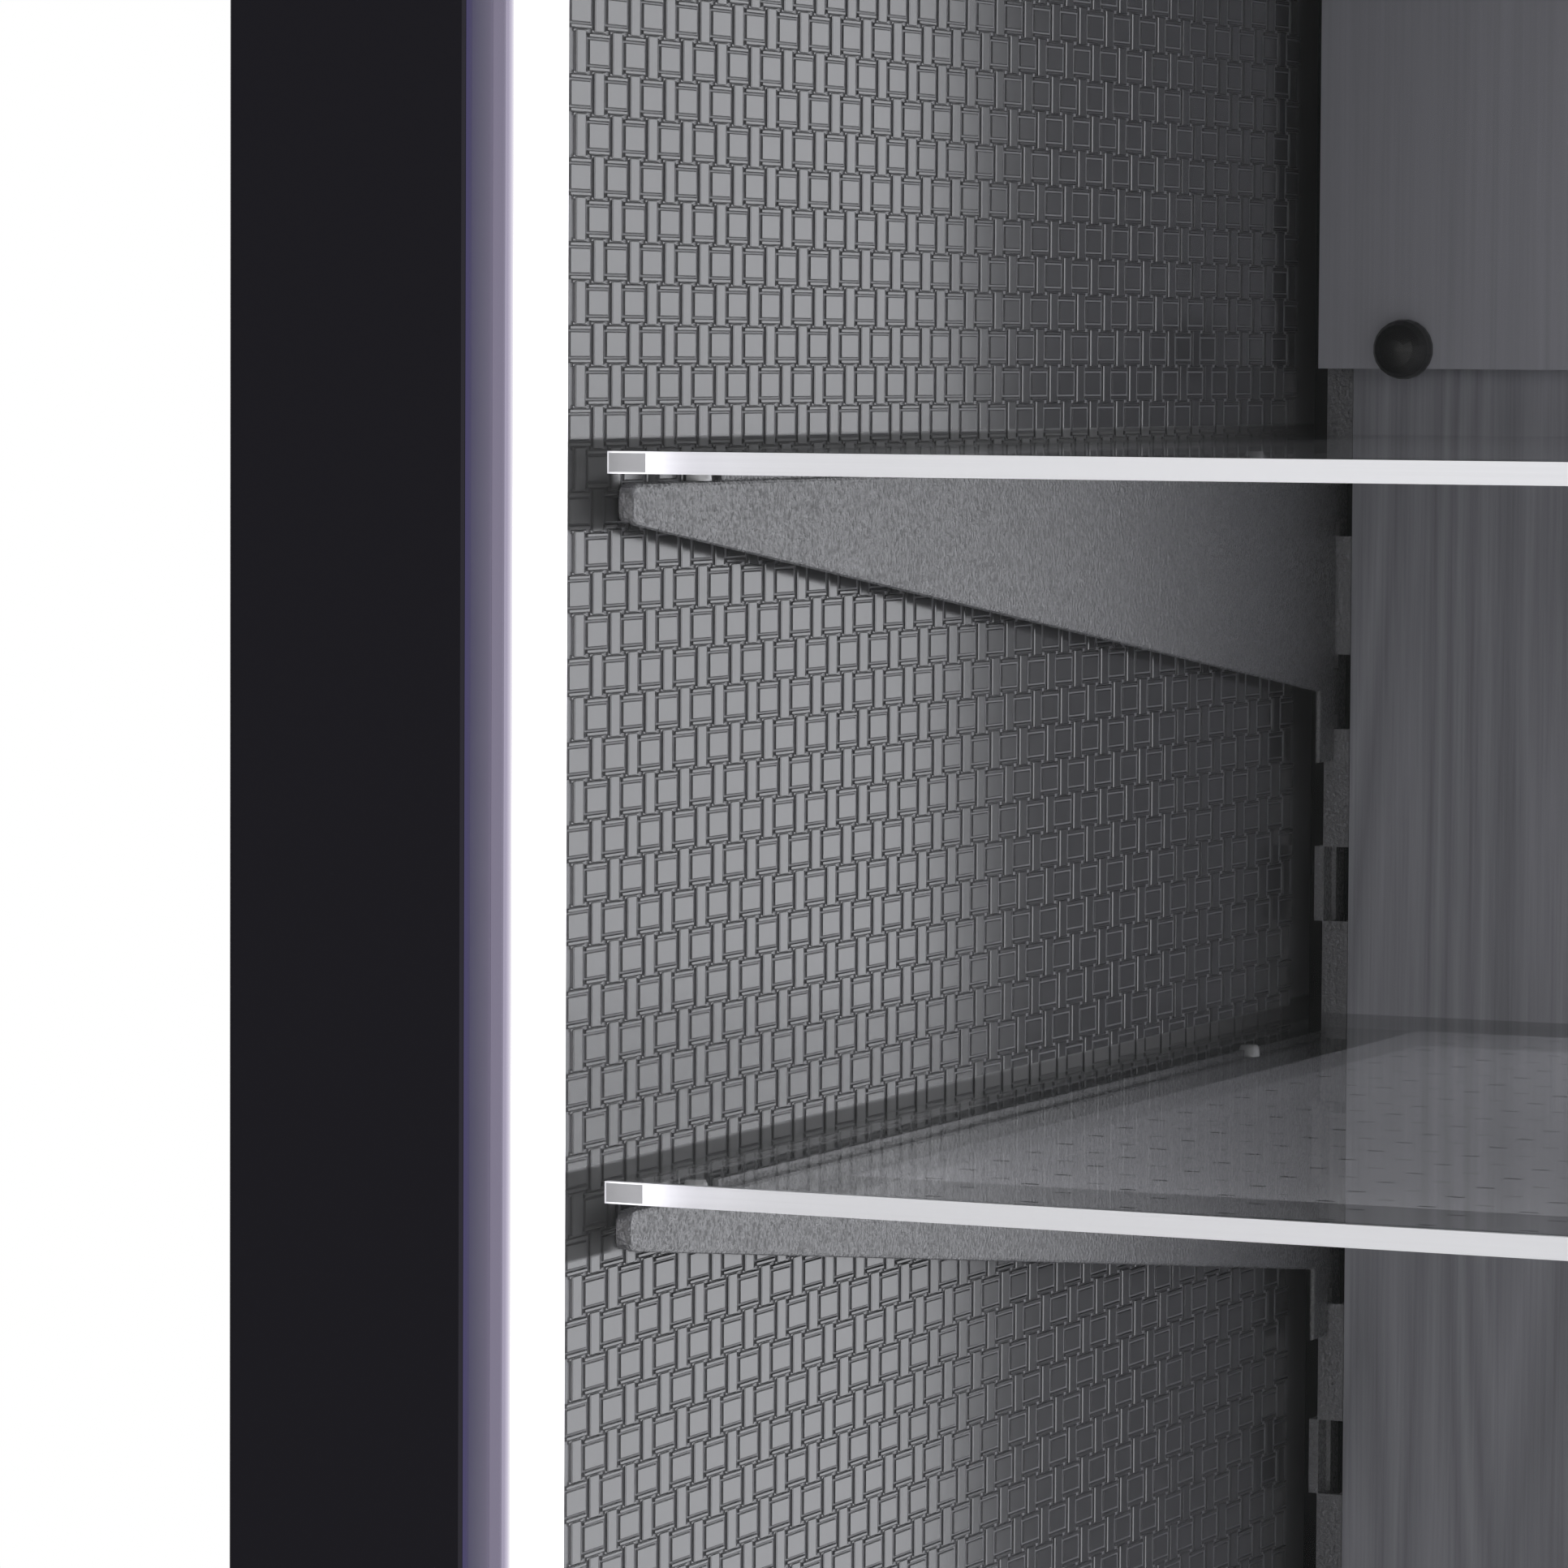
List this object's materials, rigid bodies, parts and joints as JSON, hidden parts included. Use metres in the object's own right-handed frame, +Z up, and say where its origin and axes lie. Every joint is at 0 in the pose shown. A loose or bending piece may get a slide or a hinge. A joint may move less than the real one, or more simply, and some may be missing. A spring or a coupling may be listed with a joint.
{
  "type": "china cabinet",
  "caption": "Tall black display cabinet with framed glass doors, glass shelves on slotted uprights, embossed side linings and lit front corners.",
  "frame": {"origin": "on the floor, at the middle of the cabinet's width and of its depth with the handles", "axes": "+Z up, +X to the right seen from the front, the doors face -Y"},
  "size_m": [0.9, 0.5364, 1.8],
  "materials": {
    "black_lacquer": "satin black lacquer on board",
    "clear_glass": "clear float glass",
    "black_rubber": "matte",
    "brushed_handle": "brushed",
    "embossed_lining": "board faced with a satin embossed laminate",
    "grey_powder_coat": "fine textured powder coat",
    "led_channel": "anodised",
    "led_strip": "white circuit strip",
    "opal_diffuser": "opal, lit",
    "black_knob": "satin black",
    "steel": "turned",
    "dark_wood": "dark grey wood grain, open pore",
    "rear_board": "painted hardboard",
    "brushed_dark_metal": "dark brushed",
    "white_plastic": "moulded",
    "black_plastic": "moulded",
    "brushed_aluminium": "brushed lengthwise, bright"
  },
  "bodies": {
    "cabinet": {"left_side_panel": "black_lacquer", "right_side_panel": "black_lacquer", "top_panel": "black_lacquer", "bottom_panel": "black_lacquer", "plinth": "black_lacquer", "left_lining": "embossed_lining", "left_upright": "grey_powder_coat", "left_led_channel": "led_channel", "left_led_strip": "led_strip", "left_diffuser": "opal_diffuser", "left_lower_pivot": "steel", "left_upper_pivot": "steel", "left_bracket_1": "grey_powder_coat", "left_bracket_2": "grey_powder_coat", "left_bracket_3": "grey_powder_coat", "left_bracket_4": "grey_powder_coat", "right_lining": "embossed_lining", "right_upright": "grey_powder_coat", "right_led_channel": "led_channel", "right_led_strip": "led_strip", "right_diffuser": "opal_diffuser", "right_lower_pivot": "steel", "right_upper_pivot": "steel", "right_bracket_1": "grey_powder_coat", "right_bracket_2": "grey_powder_coat", "right_bracket_3": "grey_powder_coat", "right_bracket_4": "grey_powder_coat", "back_panel": "dark_wood", "rear_sheet": "rear_board", "driver_cover": "brushed_dark_metal", "led_driver": "white_plastic", "magnetic_catch": "black_plastic", "glass_shelf_1": "clear_glass", "shelf_trim_1": "brushed_aluminium", "glass_shelf_2": "clear_glass", "shelf_trim_2": "brushed_aluminium", "glass_shelf_3": "clear_glass", "shelf_trim_3": "brushed_aluminium", "glass_shelf_4": "clear_glass", "shelf_trim_4": "brushed_aluminium"},
    "left_door": {"left_hinge_stile": "black_lacquer", "left_meeting_stile": "black_lacquer", "left_top_rail": "black_lacquer", "left_bottom_rail": "black_lacquer", "left_glass": "clear_glass", "left_gasket": "black_rubber", "left_handle": "brushed_handle"},
    "right_door": {"right_hinge_stile": "black_lacquer", "right_meeting_stile": "black_lacquer", "right_top_rail": "black_lacquer", "right_bottom_rail": "black_lacquer", "right_glass": "clear_glass", "right_gasket": "black_rubber", "right_handle": "brushed_handle"},
    "left_cover_knob": {"left_cover_knob": "black_knob"},
    "right_cover_knob": {"right_cover_knob": "black_knob"},
    "front_left_foot": {"front_left_foot": "black_plastic"},
    "front_right_foot": {"front_right_foot": "black_plastic"},
    "rear_left_foot": {"rear_left_foot": "black_plastic"},
    "rear_right_foot": {"rear_right_foot": "black_plastic"}
  },
  "joints": [
    {"name": "left_door_hinge", "type": "hinge", "parent": "cabinet", "child": "left_door", "pos_m": [-0.444, -0.22615, 0.1125], "axis": [0, 0, -1], "range_deg": [0, 105]},
    {"name": "right_door_hinge", "type": "hinge", "parent": "cabinet", "child": "right_door", "pos_m": [0.444, -0.22615, 0.1125], "axis": [0, 0, 1], "range_deg": [0, 105]},
    {"name": "left_cover_knob_turn", "type": "hinge", "parent": "cabinet", "child": "left_cover_knob", "pos_m": [-0.3662, 0.23385, 1.542], "axis": [0, 1, 0], "range_deg": [0, 90]},
    {"name": "right_cover_knob_turn", "type": "hinge", "parent": "cabinet", "child": "right_cover_knob", "pos_m": [0.3662, 0.23385, 1.542], "axis": [0, -1, 0], "range_deg": [0, 90]},
    {"name": "front_left_foot_level", "type": "slide", "parent": "cabinet", "child": "front_left_foot", "axis": [0, 0, -1], "range_m": [0, 0.012]},
    {"name": "front_right_foot_level", "type": "slide", "parent": "cabinet", "child": "front_right_foot", "axis": [0, 0, -1], "range_m": [0, 0.012]},
    {"name": "rear_left_foot_level", "type": "slide", "parent": "cabinet", "child": "rear_left_foot", "axis": [0, 0, -1], "range_m": [0, 0.012]},
    {"name": "rear_right_foot_level", "type": "slide", "parent": "cabinet", "child": "rear_right_foot", "axis": [0, 0, -1], "range_m": [0, 0.012]}
  ]
}
